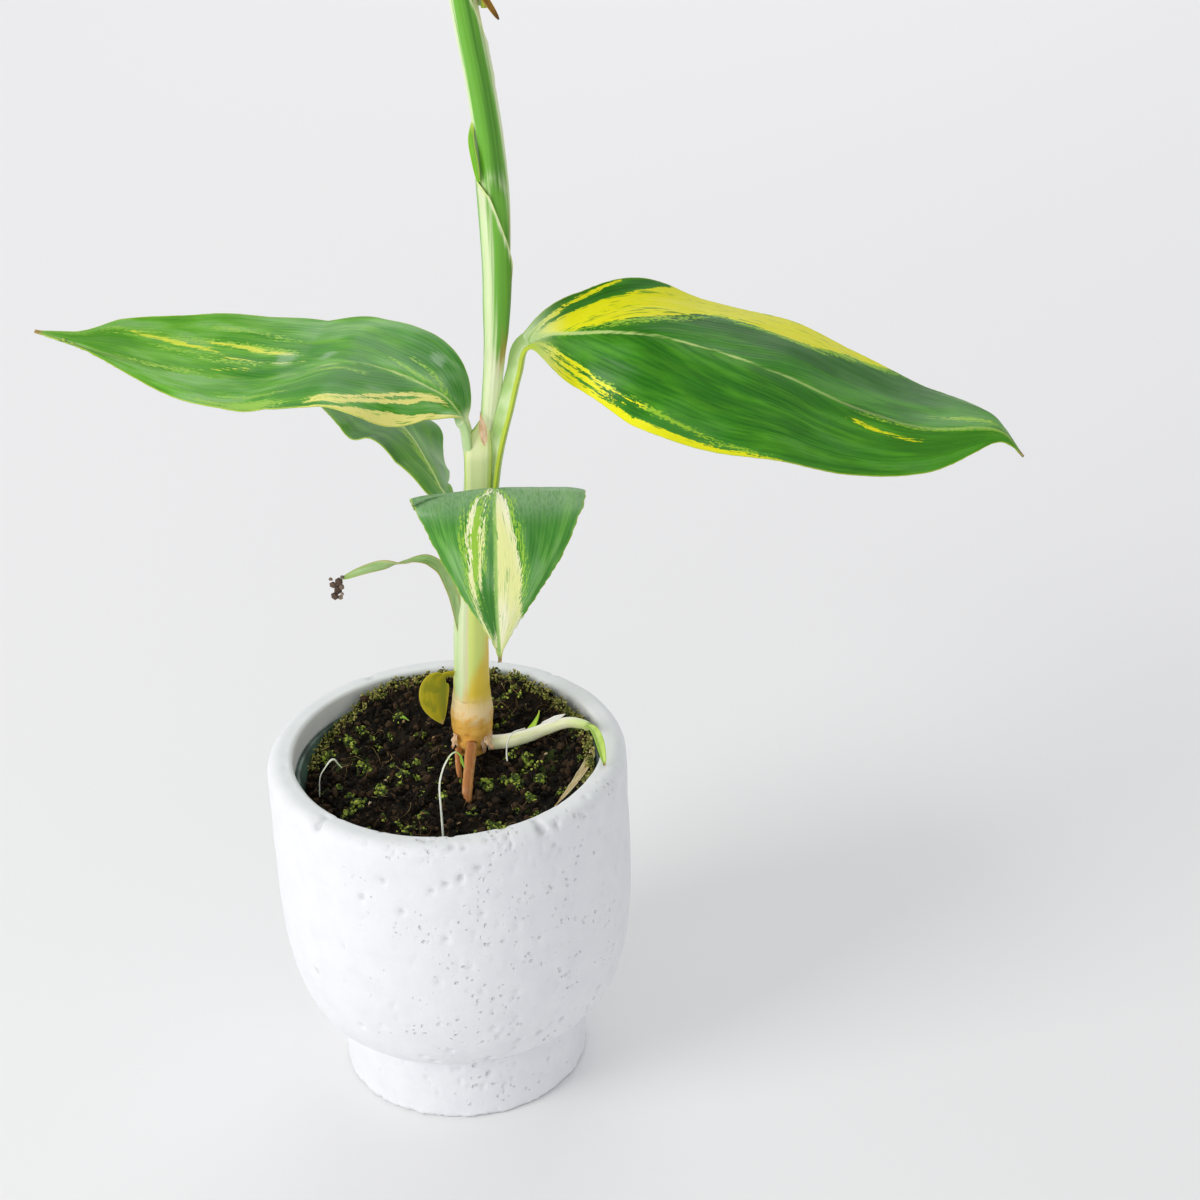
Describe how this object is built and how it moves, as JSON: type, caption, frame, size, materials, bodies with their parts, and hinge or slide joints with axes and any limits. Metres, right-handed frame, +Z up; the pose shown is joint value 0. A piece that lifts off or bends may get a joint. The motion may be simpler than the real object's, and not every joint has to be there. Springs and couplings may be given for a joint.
{
  "type": "potted foliage plant",
  "caption": "Young variegated shell ginger with striped broad leaves, rooted in soil in a plastic grow pot that stands in a footed white concrete cover pot.",
  "frame": {"origin": "centre of the cover pot's flat underside, on the surface that it stands on", "axes": "+Z up along the pot's axis, +X towards the broad right-hand leaf, -Y towards the side where one leaf folds over in front of the stem"},
  "size_m": [0.3168, 0.1277, 0.518],
  "materials": {
    "painted_concrete": "matt white paint over pitted concrete",
    "nursery_plastic": "thin dark green plastic",
    "potting_soil": "moist peat and bark crumbs, with moss at the edge",
    "sheath_tissue": "smooth waxy green and cream sheaths",
    "leaf_tissue": "satin green blade with cream and yellow stripes",
    "yellowed_leaf": "dull olive yellow",
    "dry_sheath": "dry and papery",
    "root_bark": "rough orange brown skin"
  },
  "bodies": {
    "root": {"pot": "painted_concrete", "grow_pot": "nursery_plastic", "soil": "potting_soil", "soil_crumbs": "potting_soil", "pseudostem": "sheath_tissue", "side_shoot": "sheath_tissue", "sheath_lobe": "sheath_tissue", "leaf_spear": "leaf_tissue", "leaf_right": "leaf_tissue", "leaf_left": "leaf_tissue", "leaf_back": "leaf_tissue", "leaf_front": "leaf_tissue", "leaf_twisted": "leaf_tissue", "leaf_top_right": "leaf_tissue", "leaf_top_left": "leaf_tissue", "side_shoot_leaf": "leaf_tissue", "side_shoot_bract": "leaf_tissue", "leaf_yellow": "yellowed_leaf", "dry_strip": "dry_sheath", "dry_tip": "dry_sheath", "base_scale_right": "dry_sheath", "base_scale_left": "dry_sheath", "root_front": "root_bark", "root_back": "root_bark"}
  },
  "joints": []
}
